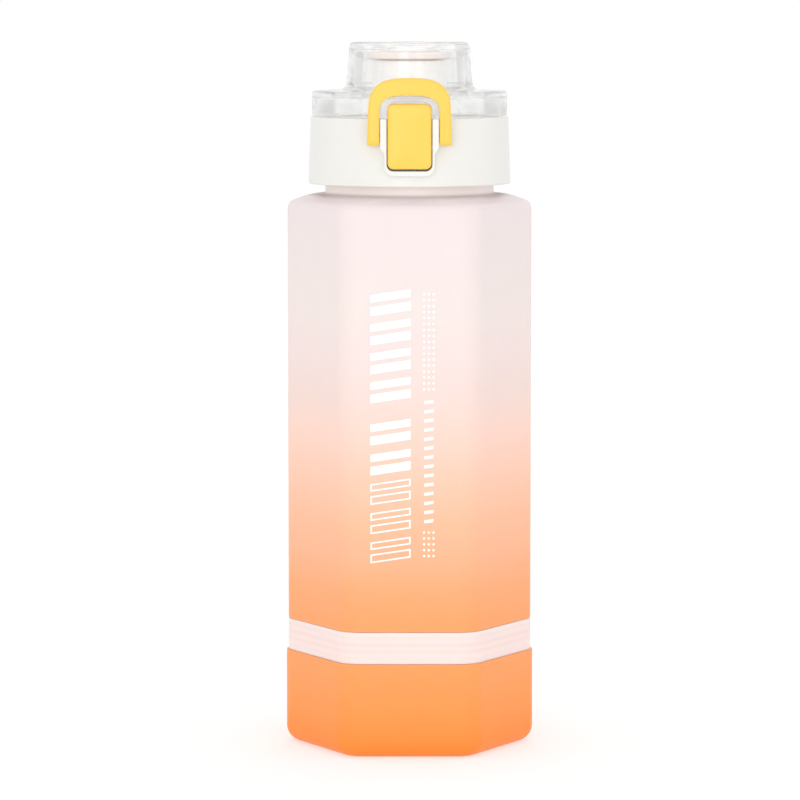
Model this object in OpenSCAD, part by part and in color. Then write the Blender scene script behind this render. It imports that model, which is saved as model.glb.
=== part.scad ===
// Hexagonal sports bottle with a flip-open clear lid, a push button, a safety bail
// and a storage cup under the bottle. Millimetres, +Z up, front towards -Y,
// origin at the middle of the face that the bottle stands on.

/* [Storage base] */
// Width of the storage cup across its flats
cup_flats = 76.4; // [75:0.2:78]
// Height of the storage cup
cup_h = 32.2; // [30:0.1:35]
// Radius of the upright edges of the hexagon
corner_r = 10; // [7:0.5:12]
// Radius of the rounded lower edge of the cup
cup_foot_r = 5.5; // [4:0.5:6]
// Height of the pale band between the cup and the bottle
band_h = 10.7; // [10:0.1:12]

/* [Bottle] */
// Height of the bottle from its lower edge to the end of the straight sides
side_h = 141.6; // [120:0.1:160]
// Wall thickness of the bottle
wall = 1.8; // [1.5:0.1:2.2]
// Outer radius of the round neck just under the cap
neck_r = 28.9; // [28.6:0.1:29.2]
// Radius of the bottle's mouth
mouth_r = 25.2; // [24:0.1:25.4]

/* [Cap] */
// Outer radius of the cap at its lower edge
cap_r_low = 34.7; // [34.5:0.1:35]
// Outer radius of the cap at its upper edge
cap_r_high = 33.9; // [33.7:0.1:34.1]
// Height of the cap
cap_h = 22.9; // [22.7:0.1:23.1]
// Outer radius of the drinking spout
spout_r = 12.7; // [12:0.1:13]

/* [Lid] */
// Outer radius of the clear lid's rim
rim_r = 33.5; // [33.3:0.1:33.6]
// Height of the lid's rim
rim_h = 8.7; // [8.6:0.1:8.8]
// Radius of the dome at its foot
dome_r_low = 21.6; // [21.4:0.1:21.8]
// Radius of the dome at its top
dome_r_high = 20.5; // [20.3:0.1:20.7]
// Height of the dome above the rim
dome_h = 16.5; // [16.4:0.1:17]

/* [Latch] */
// Half the width of the frame round the button
frame_half = 9.9; // [9.8:0.1:10]
// Half the width of the button
button_half = 7.4; // [7.2:0.1:7.6]
// Outer half width of the bail at its feet
bail_half = 14.3; // [14:0.1:14.5]

/* [Motion] */
// Rise of the cap in one turn of its thread
cap_lead = 6; // [5:0.5:6]
// Rise of the bottle in one turn of the base thread
base_lead = 5; // [5:0.5:6]

/* [Hidden] */
$fn = 96;

part_gap = 0.15;        // between stacked pieces
corner_steps = 6;       // flats in one rounded corner of the hexagon
edge_steps = 4;         // flats in one rounded edge

// heights, from the floor up
band_z = cup_h + part_gap;
bottle_z = band_z + band_h + part_gap;
shoulder_z = bottle_z + side_h;
shoulder_r = 3.2;       // rounded edge between the sides and the shoulder
shoulder_rise = 2.4;    // rise of the shoulder from there to the neck
neck_z = shoulder_z + shoulder_r + shoulder_rise;
cap_z = neck_z + 3;
cap_top = cap_z + cap_h;
lid_z = cap_top + 0.2;
rim_top = lid_z + rim_h;
lid_top = rim_top + dome_h;

// storage cup and band
cup_floor = 2.2;
cup_wall = 1.8;
foot_recess = 0.8;
band_flats = cup_flats - 1.2;
band_wall = 2.7;
spigot_gap = 0.2;
spigot_wall = 1.7;
spigot_h = 5.5;
spigot_flats = cup_flats - 2 * cup_wall - 2 * spigot_gap;
seal_groove = 0.9;      // depth of the groove for the band's seal
seal_h = 1.8;
web = 1.8;
divider_wall = 1.2;
divider_top = 23.8;
hub_r = 6;

// base thread: a ring under the bottle screws into the band
boss_in = 26;
boss_root = 28;
boss_crest = 29;
boss_h = 8.3;
socket_root = 29.3;
socket_crest = 28.25;
socket_out = 31.2;
base_gasket_in = 29.4;
base_gasket_out = 33;
base_gasket_h = 1.1;

// bottle
bottle_flats = cup_flats - 1.2;
bottle_floor = 2.5;
bottle_edge_r = 0.6;
neck_root = 27.3;
neck_crest = 28.4;
rim_z = cap_z + 16.8;   // the bottle's mouth
collar_top = cap_z + 0.9;

// cap
cap_wall = 1.9;
cap_root = 28.7;
cap_crest = 27.6;
cap_sleeve_out = 30.7;
gasket_h = 1.8;
deck_low = rim_z + gasket_h + 0.1;
deck_high = deck_low + 2;
sleeve_z = cap_z + 1.8;
spout_wall = 1.8;
spout_hole = spout_r + 0.1;
spout_flange = 16.5;
spout_flange_h = 1.8;
spout_gasket_h = 1.2;
spout_top = lid_top - 6.1;

// lid
lid_wall = 1.9;
edge_r = 1.5;
flare_r = 3.5;
seal_top = lid_top - 3.5;
seal_disc_r = 14.3;
plug_gap = 0.3;
seal_boss_in = 8.6;
seal_boss_out = 10.2;

// rear hinge
hinge_y = 35.2;
hinge_z = lid_z + 1;
knuckle_r = 2.8;
hinge_pin_r = 1;
lid_knuckle = [5.3, 9.4];
cap_knuckle = [9.6, 13];

// latch, seen from the front
front_y = -37.2;        // front face of the frame
button_front = -38;
button_back = -35.2;
button_low = cap_z + 6.1;
button_high = lid_z + 4.9;
frame_low = cap_z + 3.7;
frame_step = cap_z + 12.6; // where the frame's lower end narrows
frame_end_half = button_half + 1.3;
frame_end_r = 3;        // rounded lower corners of the frame
frame_high = lid_z + 7.4;
arch_z = lid_z + 1.2;   // where the frame's and the bail's arches begin
recess_half = button_half + 0.3;
recess_back = -31.2;
recess_low = button_low - 0.9;
button_axis = [-33.4, cap_z + 13.3];
button_pin_r = 0.8;
hook_low = lid_z + 2.7;
hook_tip = -33.8;
catch_tip = -34.6;
spring_z = cap_z + 8.8;

// bail
bail_axis = [-35.2, cap_z + 16.2];
bail_foot_r = 2.2;
bail_in = frame_half + 0.25;
bail_shoulder = 13.9;
bail_top = lid_top - 11.7;
bail_back = -31.5;      // back of the crossbar, which hooks over the lid's rim
stud_r = 1.2;

// ---- shapes used more than once ----

// a hexagon with rounded corners, two of them on the X axis
module hexagon(flats, r) {
    centre = (flats - 2 * r) / sqrt(3);
    polygon([
        for (i = [0:5], s = [0:corner_steps])
            let (a = 60 * i - 30 + 60 * s / corner_steps)
            centre * [cos(60 * i), sin(60 * i)] + r * [cos(a), sin(a)]
    ]);
}

// the points of a rounded hexagon at height z, drawn in by inset
function hex_points(flats, z, inset) =
    let (r = max(corner_r - inset, 1), centre = (flats - 2 * inset - 2 * r) / sqrt(3))
    [
        for (i = [0:5], s = [0:corner_steps])
            let (a = 60 * i - 30 + 60 * s / corner_steps)
            [centre * cos(60 * i) + r * cos(a), centre * sin(60 * i) + r * sin(a), z]
    ];

// a circle at height z, with as many points as a rounded hexagon
function round_points(r, z) = [
    for (i = [0:5], s = [0:corner_steps])
        let (a = 60 * i + 60 * (s - corner_steps / 2) / (corner_steps + 1))
        [r * cos(a), r * sin(a), z]
];

// the rings of a rounded edge; side is -1 for a lower edge and 1 for an upper one
function edge_rings(flats, z, r, side) = [
    for (i = [0:edge_steps])
        let (a = 90 * (side > 0 ? i : edge_steps - i) / edge_steps)
        hex_points(flats, z - side * r * (1 - sin(a)), r * (1 - cos(a)))
];

// a solid through a stack of rings that all have the same number of points
module loft(rings) {
    polyhedron([for (ring = rings) each ring], tube_faces(len(rings), len(rings[0])));
}

// a hexagonal block from low to high, with rounded lower and upper edges
module hex_block(flats, low, high, low_r, high_r) {
    loft(concat(edge_rings(flats, low, low_r, -1), edge_rings(flats, high, high_r, 1)));
}

// a straight hexagonal ring
module hex_ring(flats, thick, low, high) {
    translate([0, 0, low])
        linear_extrude(high - low)
            difference() {
                hexagon(flats, corner_r);
                hexagon(flats - 2 * thick, corner_r - 1);
            }
}

module ring(r_in, r_out, low, high) {
    rotate_extrude()
        polygon([[r_in, low], [r_out, low], [r_out, high], [r_in, high]]);
}

// half of a flattened arch: a superellipse from the side (0 degrees) to the top (90)
function arch(half, rise, z, from, to, steps = 12) = [
    for (i = [0:steps])
        let (a = from + (to - from) * i / steps, c = cos(a), s = sin(a))
        [half * sign(c) * pow(abs(c), 2 / 3), z + rise * sign(s) * pow(abs(s), 2 / 3)]
];

// a quarter or half round corner for a revolved outline
function arc(r, z, radius, from, to, steps = 5) = [
    for (i = [0:steps])
        let (a = from + (to - from) * i / steps)
        [r + radius * cos(a), z + radius * sin(a)]
];

// an outline in X and Z, given depth from y_front backwards
module from_front(y_front, depth) {
    translate([0, y_front + depth, 0])
        rotate([90, 0, 0])
            linear_extrude(depth)
                children();
}

// a round bar along X, centred on x
module bar_x(axis, r, length, x = 0) {
    translate([x, axis[0], axis[1]])
        rotate([0, 90, 0])
            cylinder(r = r, h = length, center = true);
}

// the faces of a closed tube made of rings of points, each with sides points
function tube_faces(rings, sides) = concat(
    [[for (j = [0:sides - 1]) j]],
    [
        for (i = [0:rings - 2], j = [0:sides - 1], half = [0, 1])
            let (a = i * sides + j, b = i * sides + (j + 1) % sides)
            half == 0 ? [a, a + sides, b] : [b, a + sides, b + sides]
    ],
    [[for (j = [sides - 1:-1:0]) (rings - 1) * sides + j]]
);

// one ridge of a thread; the root is sunk into its wall and the ends fade into it
module ridge(root, crest, lead, z, turns, start) {
    sunk = 0.3;
    steps = ceil(turns * 48);
    fade = 5;
    out = sign(crest - root);
    base = 0.28 * lead;
    tip = 0.13 * lead;
    base_r = root - out * sunk;
    points = [
        for (i = [0:steps])
            let (
                a = start + 360 * turns * i / steps,
                h = z + lead * turns * i / steps,
                k = max(0.05, min(1, i / fade, (steps - i) / fade)),
                r = base_r + (crest - base_r) * k
            )
            for (p = [[base_r, -base], [r, -tip], [r, tip], [base_r, base]])
                [p[0] * cos(a), p[0] * sin(a), h - out * p[1] / 2]
    ];
    polyhedron(points, tube_faces(steps + 1, 4));
}

// two ridges, half a turn apart
module thread(root, crest, lead, z, turns, start = 0) {
    for (s = [0, 180])
        ridge(root, crest, lead, z, turns, start + s);
}

// a coil spring along Z, centred on the origin
module coil(mean_r, wire_r, length, turns) {
    sides = 6;
    steps = turns * 14;
    points = [
        for (i = [0:steps])
            let (a = 360 * turns * i / steps, h = length * (i / steps - 0.5))
            for (j = [0:sides - 1])
                let (r = mean_r + wire_r * cos(360 * j / sides))
                [r * cos(a), r * sin(a), h - wire_r * sin(360 * j / sides)]
    ];
    polyhedron(points, tube_faces(steps + 1, sides));
}

// ---- storage base ----

module base_cup() {
    color("orange")
        difference() {
            hex_block(cup_flats, 0, cup_h, cup_foot_r, 0.6);
            hex_block(cup_flats - 2 * cup_wall, cup_floor, cup_h + 2, 3, 0.1);
            translate([0, 0, -1])
                linear_extrude(foot_recess + 1)
                    hexagon(cup_flats - 22, corner_r);
        }
}

// six vanes round a hollow hub, dropped into the cup
module divider_insert() {
    vane = (cup_flats - 2 * cup_wall - 2 * corner_r) / sqrt(3) + corner_r - 1.8;
    color("whitesmoke")
        difference() {
            union() {
                translate([0, 0, cup_floor + 0.1])
                    cylinder(r = hub_r, h = divider_top - cup_floor - 0.1);
                for (a = [0:60:300])
                    rotate([0, 0, a])
                        translate([hub_r - 1, -divider_wall / 2, cup_floor + 2.2])
                            cube([vane - hub_r, divider_wall, divider_top - cup_floor - 2.2]);
            }
            cylinder(r = hub_r - divider_wall, h = divider_top + 1);
        }
}

// lid of the storage cup, with the socket that the bottle screws into
module band() {
    band_top = band_z + band_h;
    low = band_z - spigot_h;
    color("snow")
        union() {
            difference() {
                union() {
                    hex_ring(band_flats, band_wall, band_z, band_top);
                    hex_ring(spigot_flats, spigot_wall, low, band_z + 3);
                    translate([0, 0, band_z])
                        linear_extrude(web)
                            hexagon(spigot_flats - 1, corner_r);
                    ring(socket_root, socket_out, band_z + 0.5, band_top - 1);
                    translate([0, 0, band_top - web])
                        linear_extrude(web)
                            difference() {
                                hexagon(band_flats - 1, corner_r);
                                circle(r = socket_root);
                            }
                }
                ring(socket_root - 1, base_gasket_out + 0.2, band_top - base_gasket_h - 0.1, band_top + 1);
                difference() {
                    translate([0, 0, low + 1.4])
                        linear_extrude(seal_h + 0.2)
                            hexagon(spigot_flats + 2, corner_r);
                    translate([0, 0, low])
                        linear_extrude(spigot_h)
                            hexagon(spigot_flats - 2 * seal_groove, corner_r - seal_groove);
                }
            }
            thread(socket_root, socket_crest, base_lead, band_z + 4.4, 0.7, 90);
        }
}

// silicone ring in the spigot's groove
module band_seal() {
    low = band_z - spigot_h + 1.5;
    color("gainsboro")
        translate([0, 0, low])
            linear_extrude(seal_h)
                difference() {
                    hexagon(spigot_flats + 0.2, corner_r);
                    hexagon(spigot_flats - 2 * seal_groove + 0.1, corner_r - seal_groove);
                }
}

module base_gasket() {
    color("gainsboro")
        ring(base_gasket_in, base_gasket_out, bottle_z - 0.1 - base_gasket_h, bottle_z - 0.1);
}

// ---- bottle ----

module bottle_outside() {
    loft(concat(
        edge_rings(bottle_flats, bottle_z, bottle_edge_r, -1),
        edge_rings(bottle_flats, shoulder_z + shoulder_r, shoulder_r, 1),
        [round_points(neck_r + 0.3, neck_z)]
    ));
}

module bottle_inside() {
    inner = bottle_flats - 2 * wall;
    loft(concat(
        edge_rings(inner, bottle_z + bottle_floor, 3, -1),
        edge_rings(inner, shoulder_z + shoulder_r - wall, shoulder_r - 1, 1),
        [round_points(mouth_r + 0.8, neck_z - wall)]
    ));
}

module bottle_body() {
    color("sandybrown")
        union() {
            difference() {
                union() {
                    bottle_outside();
                    ring(mouth_r - 1, neck_r, neck_z - 1.5, collar_top);
                    ring(mouth_r - 1, neck_root, neck_z - 1.5, rim_z);
                }
                bottle_inside();
                translate([0, 0, neck_z - wall - 1])
                    cylinder(r = mouth_r, h = rim_z - neck_z + wall + 2);
            }
            ring(boss_in, boss_root, bottle_z - boss_h, bottle_z + 1);
            thread(neck_root, neck_crest, cap_lead, cap_z + 5.3, 1.25);
            thread(boss_root, boss_crest, base_lead, bottle_z - boss_h + 2, 0.7);
        }
}

// ---- cap ----

module cap_gasket() {
    color("gainsboro")
        ring(mouth_r + 0.1, cap_crest - 0.3, rim_z + 0.05, rim_z + gasket_h);
}

// the button's frame as seen from the front: wide beside the bail, narrow and rounded below it
module frame_outline(top) {
    translate([-frame_half, frame_step])
        square([2 * frame_half, top - frame_step]);
    hull() {
        for (x = [-1, 1] * (frame_end_half - frame_end_r))
            translate([x, frame_low + frame_end_r])
                circle(r = frame_end_r);
        translate([-frame_end_half, frame_step - 1])
            square([2 * frame_end_half, 2]);
    }
}

// one ear of the cap that holds the hinge pin
module cap_ear() {
    translate([cap_knuckle[0], 0, 0])
        rotate([90, 0, 90])
            linear_extrude(cap_knuckle[1] - cap_knuckle[0]) {
                translate([hinge_y, hinge_z])
                    circle(r = knuckle_r);
                polygon([
                    [cap_r_high - 1.7, hinge_z - 9], [cap_r_high + 0.3, hinge_z - 9],
                    [hinge_y + 2.2, hinge_z - 1.6], [hinge_y, hinge_z], [cap_r_high - 2.6, hinge_z - 1.3],
                ]);
            }
}

module cap_body() {
    skirt_in = cap_r_low - cap_wall;
    color("white")
        union() {
            difference() {
                union() {
                    rotate_extrude()
                        polygon([
                            [spout_hole, deck_low], [spout_hole, deck_high],
                            [cap_r_high - cap_wall, deck_high], [cap_r_high - cap_wall, cap_top],
                            [cap_r_high, cap_top], [cap_r_low, cap_z], [skirt_in, cap_z],
                            [cap_r_high - cap_wall, deck_low], [cap_sleeve_out, deck_low],
                            [cap_sleeve_out, sleeve_z], [cap_root, sleeve_z], [cap_root, deck_low],
                        ]);
                    difference() {
                        from_front(front_y, 8.2)
                            frame_outline(cap_top);
                        translate([0, 0, sleeve_z - 1])
                            cylinder(r = cap_root + 0.6, h = deck_low - sleeve_z + 1.5);
                        translate([0, 0, deck_high])
                            cylinder(r = cap_r_high - cap_wall, h = 10);
                    }
                    for (side = [0, 1])
                        mirror([side, 0, 0])
                            cap_ear();
                }
                // recess for the button, open at the top
                translate([-recess_half, front_y - 1, recess_low])
                    cube([2 * recess_half, recess_back - front_y + 1, cap_top - recess_low + 1]);
                bar_x(button_axis, button_pin_r, 2 * frame_half - 1);
                bar_x(bail_axis, stud_r + 0.05, 2 * frame_half + 1);
                // room for the lid's knuckles and the spring
                bar_x([hinge_y, hinge_z], knuckle_r + 0.3, 2 * cap_knuckle[0] - 0.1);
                bar_x([hinge_y, hinge_z], hinge_pin_r, 2 * cap_knuckle[1] + 1);
            }
            thread(cap_root, cap_crest, cap_lead, cap_z + 5, 1, 90);
        }
}

module spout_gasket() {
    color("gainsboro")
        ring(spout_r + 0.1, spout_flange - 0.4, deck_low - spout_gasket_h, deck_low);
}

module spout() {
    flange_top = deck_low - spout_gasket_h;
    spout_in = spout_r - spout_wall;
    lip = spout_wall / 2;
    color("white")
        rotate_extrude()
            polygon(concat(
                [
                    [spout_in, flange_top - spout_flange_h],
                    [spout_flange, flange_top - spout_flange_h],
                    [spout_flange, flange_top], [spout_r, flange_top],
                ],
                arc(spout_r - lip, spout_top - lip, lip, 0, 180)
            ));
}

// ---- clear lid ----

// the part of the lid's front that stands round the top of the button
module tongue() {
    difference() {
        from_front(front_y, 6)
            difference() {
                polygon(concat(
                    [[frame_half - 0.05, lid_z]],
                    arch(frame_half - 0.05, frame_high - arch_z, arch_z, 0, 180),
                    [[-frame_half + 0.05, lid_z]]
                ));
                translate([-recess_half, lid_z - 1])
                    square([2 * recess_half, button_high + 0.4 - lid_z + 1]);
            }
        cylinder(r = rim_r - 0.6, h = lid_top);
    }
}

// one knuckle of the lid on the hinge pin
module lid_ear() {
    translate([lid_knuckle[0], 0, 0])
        rotate([90, 0, 90])
            linear_extrude(lid_knuckle[1] - lid_knuckle[0])
                difference() {
                    union() {
                        translate([hinge_y, hinge_z])
                            circle(r = knuckle_r);
                        polygon([
                            [rim_r - 2.2, lid_z], [hinge_y, lid_z],
                            [hinge_y, hinge_z + knuckle_r - 0.1], [rim_r - 2.2, hinge_z + 5],
                        ]);
                    }
                    translate([hinge_y, hinge_z])
                        circle(r = hinge_pin_r + 0.05);
                }
}

module lid() {
    dome_in_low = dome_r_low - lid_wall;
    dome_in_high = dome_r_high - lid_wall;
    color("aliceblue")
        union() {
            difference() {
                union() {
                    rotate_extrude()
                        polygon(concat(
                            [[0, lid_top]],
                            arc(dome_r_high - edge_r, lid_top - edge_r, edge_r, 90, 0),
                            arc(dome_r_low + flare_r, rim_top + flare_r, flare_r, 180, 270),
                            arc(rim_r - 1, rim_top - 1, 1, 90, 0),
                            [
                                [rim_r, lid_z], [rim_r - lid_wall, lid_z],
                                [rim_r - lid_wall, rim_top - lid_wall],
                                [dome_in_low, rim_top - lid_wall],
                                [dome_in_high, lid_top - 2.4], [0, lid_top - 2],
                            ]
                        ));
                    tongue();
                }
                bar_x([hinge_y, hinge_z], 2.6, 2 * lid_knuckle[0]);
            }
            // catch for the button's hook
            difference() {
                translate([-5.5, catch_tip, lid_z + 0.1])
                    cube([11, 3, hook_low - lid_z - 0.3]);
                cylinder(r = rim_r - 1, h = lid_top);
            }
            for (side = [0, 1])
                mirror([side, 0, 0])
                    lid_ear();
            ring(seal_boss_in, seal_boss_out, seal_top + 0.1, lid_top - 2.2);
        }
}

// silicone seal under the dome, with a tapered plug that enters the spout
module lid_seal() {
    plug = spout_r - spout_wall - plug_gap;
    low = spout_top + plug_gap;
    color("mistyrose")
        rotate_extrude()
            polygon([
                [0, low - 1.8], [plug - 1.2, low - 1.8], [plug, low],
                [seal_disc_r, low], [seal_disc_r, seal_top], [seal_boss_in - 0.1, seal_top],
                [seal_boss_in - 0.1, seal_top + 1], [0, seal_top + 1],
            ]);
}

// ---- hinge ----

module hinge_pin() {
    color("silver")
        bar_x([hinge_y, hinge_z], hinge_pin_r, 2 * cap_knuckle[1]);
}

module hinge_spring() {
    mean_r = 1.6;
    leg = 0.3;
    half_length = 4.5;
    color("silver")
        translate([0, hinge_y, hinge_z])
            union() {
                rotate([90, 0, 90])
                    rotate([0, 0, 180])
                        coil(mean_r, leg, 2 * half_length, 9.5);
                // the straight ends bear on the lid and on the cap
                translate([-half_length, -mean_r, 0])
                    cylinder(r = leg, h = 5.5, $fn = 12);
                translate([half_length, mean_r, 0])
                    rotate([158, 0, 0])
                        cylinder(r = leg, h = 6.5, $fn = 12);
            }
}

// ---- latch ----

module button_outline() {
    r = 2;
    polygon(concat(
        arc(button_half - r, button_high - r, r, 0, 90),
        arc(-button_half + r, button_high - r, r, 90, 180),
        arc(-button_half + r, button_low + r, r, 180, 270),
        arc(button_half - r, button_low + r, r, 270, 360)
    ));
}

module button() {
    color("gold")
        difference() {
            union() {
                from_front(button_front, button_back - button_front)
                    button_outline();
                // pivot block behind the plate
                translate([-6, button_back - 0.5, button_axis[1] - 1.6])
                    cube([12, button_axis[0] + 1.6 - button_back + 0.5, 3.2]);
                // hook over the lid's catch
                translate([-5.3, button_back - 0.5, hook_low])
                    cube([10.6, hook_tip - button_back + 0.5, button_high - 0.6 - hook_low]);
            }
            bar_x(button_axis, button_pin_r + 0.05, 20);
        }
}

module button_pin() {
    color("silver")
        bar_x(button_axis, button_pin_r, 2 * frame_half - 1.2);
}

module button_spring() {
    room = recess_back - button_back;
    mean_r = 1.5;
    wire_r = 0.25;
    color("silver")
        translate([0, (button_back + recess_back) / 2, spring_z])
            rotate([90, 0, 0])
                coil(mean_r, wire_r, room - 0.7, 4);
}

// the outside of the bail, or its opening, as seen from the front
module bail_outline(foot, shoulder, top) {
    low = bail_axis[1] - bail_foot_r;
    polygon(concat(
        [[foot, low]],
        arch(shoulder, top - arch_z, arch_z, 0, 180, 20),
        [[-foot, low]]
    ));
}

module bail() {
    color("gold")
        union() {
            difference() {
                intersection() {
                    from_front(front_y - 0.2, 8)
                        difference() {
                            bail_outline(bail_half, bail_shoulder, bail_top);
                            bail_outline(bail_in, bail_in, frame_high + 0.25);
                        }
                    // side view: round feet on the pivot, straight legs, hooked crossbar
                    rotate([90, 0, 90])
                        linear_extrude(40, center = true) {
                            translate(bail_axis)
                                circle(r = bail_foot_r);
                            translate([bail_axis[0] - bail_foot_r + 0.005, bail_axis[1]])
                                square([2 * bail_foot_r - 0.01, bail_top - bail_axis[1] + 1]);
                            translate([bail_axis[0], rim_top + 0.3])
                                square([bail_back - bail_axis[0], 10]);
                        }
                }
                cylinder(r = cap_r_high + 0.4, h = rim_top + 0.3);
            }
            for (side = [-1, 1])
                bar_x(bail_axis, stud_r, 1.6, side * (bail_in - 0.6));
        }
}

base_cup();
divider_insert();
band();
band_seal();
base_gasket();
bottle_body();
cap_gasket();
cap_body();
spout_gasket();
spout();
lid();
lid_seal();
hinge_pin();
hinge_spring();
button();
button_pin();
button_spring();
bail();
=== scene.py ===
"""The looks of a hexagonal sports bottle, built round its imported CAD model.

Lengths are in millimetres until a mesh is made. +Z is up and the front faces -Y, as in the CAD."""

from math import atan2, ceil, cos, pi, radians, sin, sqrt, tan

import bmesh
import bpy
from mathutils import Matrix, Vector


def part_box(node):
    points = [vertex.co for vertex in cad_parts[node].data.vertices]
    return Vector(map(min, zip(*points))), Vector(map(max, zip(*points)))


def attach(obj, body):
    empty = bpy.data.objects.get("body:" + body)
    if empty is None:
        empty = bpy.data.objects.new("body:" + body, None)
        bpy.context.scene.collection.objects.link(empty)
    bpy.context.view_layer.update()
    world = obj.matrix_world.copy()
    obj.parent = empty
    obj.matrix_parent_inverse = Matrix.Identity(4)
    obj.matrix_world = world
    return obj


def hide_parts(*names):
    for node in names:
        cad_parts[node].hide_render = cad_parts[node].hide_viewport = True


MM = 0.001
SAME_PLACE = 1e-7  # metres within which points are taken as one

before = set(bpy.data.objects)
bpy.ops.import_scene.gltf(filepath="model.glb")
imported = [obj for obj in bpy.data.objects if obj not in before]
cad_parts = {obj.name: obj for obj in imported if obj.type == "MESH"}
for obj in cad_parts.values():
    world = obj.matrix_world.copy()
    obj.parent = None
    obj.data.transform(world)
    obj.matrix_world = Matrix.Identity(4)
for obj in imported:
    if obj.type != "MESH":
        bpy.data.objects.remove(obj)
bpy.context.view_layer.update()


def span(node, axis):
    """The lowest and highest coordinate of a CAD node along an axis, in millimetres."""
    low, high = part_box(node)
    return low[axis] / MM, high[axis] / MM


# ---- sizes, from the CAD model ----

JOINT_GAP = 0.04  # the fine line at each end of the band
WALL = 1.8
CORNER_R = 10  # upright edges of cup, band and bottle
SHOULDER_R = 3.2

CUP_LOW, CUP_HIGH = span("base_cup", 2)
CUP_FLATS = 2 * span("base_cup", 1)[1]
BAND_LOW, BAND_HIGH = CUP_HIGH + JOINT_GAP, CUP_HIGH + 10.85
BAND_FLATS = 2 * span("band", 1)[1]
SPIGOT_LOW = span("band", 2)[0]
BOTTLE_LOW = BAND_HIGH + JOINT_GAP
BOTTLE_FLATS = 2 * span("bottle_body", 1)[1]
BOSS_LOW, MOUTH_Z = span("bottle_body", 2)

LID_HIGH = span("lid", 2)[1]
LID_LOW = LID_HIGH - 25.2
RIM_TOP = LID_LOW + 8.7
ARCH_Z = LID_LOW + 1.2  # where the arches round the button begin
CAP_HIGH = LID_LOW - 0.2
CAP_LOW = CAP_HIGH - 22.9
NECK_Z = CAP_LOW - 3
SIDE_TOP = CAP_LOW - 8.6

NECK_R = 28.9
MOUTH_R = 25.2
NECK_THREAD_R, SLEEVE_R = 27.3, 28.7
BOSS_THREAD_R, SOCKET_R = 28, 29.3
NECK_LEAD, BOSS_LEAD = 6, 5  # rise of the threads in one turn

SPOUT_R, SPOUT_BORE_R = 12.7, 10.9
SPOUT_LOW, SPOUT_TOP = span("spout", 2)
DECK_HOLE_R = 12.8

BUTTON_HALF = span("button", 0)[1]
RECESS_HALF = BUTTON_HALF + 0.25
FRAME_HALF = 9.9
FRAME_Y = -37.2  # front of the frame and of the lid's tongue
HINGE = (35.2, LID_LOW + 1)  # axes along X, as (y, z)
BAIL_AXIS = (-35.2, CAP_LOW + 16.2)
BUTTON_AXIS = (-33.4, CAP_LOW + 13.3)


# ---- mesh helpers ----

RING_STEPS = 10  # steps round each of a ring's six corners


def hex_ring(flats, z, inset=0.0):
    """The points of a rounded hexagon, two of its corners on the X axis, drawn in by inset."""
    r = max(CORNER_R - inset, 1)
    centre = (flats - 2 * inset - 2 * r) / sqrt(3)
    ring = []
    for i in range(6):
        for s in range(RING_STEPS + 1):
            a = radians(60 * i - 30 + 60 * s / RING_STEPS)
            c = radians(60 * i)
            ring.append((centre * cos(c) + r * cos(a), centre * sin(c) + r * sin(a), z))
    return ring


def round_ring(r, z):
    """A circle with as many points as hex_ring, matched to them."""
    ring = []
    for i in range(6):
        for s in range(RING_STEPS + 1):
            a = radians(60 * i + 60 * (s - RING_STEPS / 2) / (RING_STEPS + 1))
            ring.append((r * cos(a), r * sin(a), z))
    return ring


def edge_rings(flats, z, r, side, steps=7):
    """Rings over a rounded edge, from below: side is -1 for a lower edge and 1 for an upper one."""
    rings = []
    for i in range(steps + 1):
        a = radians(90 * (i if side > 0 else steps - i) / steps)
        rings.append(hex_ring(flats, z - side * r * (1 - sin(a)), r * (1 - cos(a))))
    return rings


def mix_rings(a, b, share):
    """A ring part of the way from ring a to ring b."""
    return [tuple(p + (q - p) * share for p, q in zip(u, v)) for u, v in zip(a, b)]


def loft(rings, closed=False):
    """(points, faces) of a skin through rings that all have the same number of points."""
    n = len(rings[0])
    points = [p for ring in rings for p in ring]
    faces = []
    last = len(rings) if closed else len(rings) - 1
    for i in range(last):
        k = (i + 1) % len(rings)
        for j in range(n):
            m = (j + 1) % n
            faces.append((i * n + j, i * n + m, k * n + m, k * n + j))
    if not closed:
        faces.append(tuple(range(n - 1, -1, -1)))
        faces.append(tuple(range(last * n, last * n + n)))
    return points, faces


def rounded(corners, closed=True, steps=5):
    """A 2D outline whose corners (x, y, radius) are rounded."""
    out = []
    n = len(corners)
    for i, corner in enumerate(corners):
        p = Vector(corner[:2])
        r = corner[2] if len(corner) > 2 else 0
        if r == 0 or (not closed and i in (0, n - 1)):
            out.append(tuple(p))
            continue
        u = (Vector(corners[i - 1][:2]) - p).normalized()
        v = (Vector(corners[(i + 1) % n][:2]) - p).normalized()
        half = u.angle(v) / 2
        centre = p + (u + v).normalized() * (r / sin(half))
        start = p + u * (r / tan(half)) - centre
        end = p + v * (r / tan(half)) - centre
        turn = atan2(start.x * end.y - start.y * end.x, start.dot(end))
        for s in range(steps + 1):
            out.append(tuple(centre + Matrix.Rotation(turn * s / steps, 2) @ start))
    return out


def lathe(profile, segments=128, closed=True):
    """(points, faces) of an outline (radius, height) turned round the Z axis.

    An outline that isn't closed begins and ends on the axis.
    """
    rings = []
    for k in range(segments):
        a = 2 * pi * k / segments
        rings.append([(r * cos(a), r * sin(a), z) for r, z in profile])
    points = [p for ring in rings for p in ring]
    n = len(profile)
    faces = []
    for k in range(segments):
        m = (k + 1) % segments
        for j in range(n if closed else n - 1):
            i = (j + 1) % n
            faces.append((k * n + j, m * n + j, m * n + i, k * n + i))
    return points, faces


def lathe_x(profile, segments, place, side=1):
    """An open outline (radius, length) turned round the X axis, leftwards from place at side -1."""
    points, faces = lathe(profile, segments, closed=False)
    x0, y0, z0 = place
    return [(x0 + side * z, y0 + x, z0 + y) for x, y, z in points], faces


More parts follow.
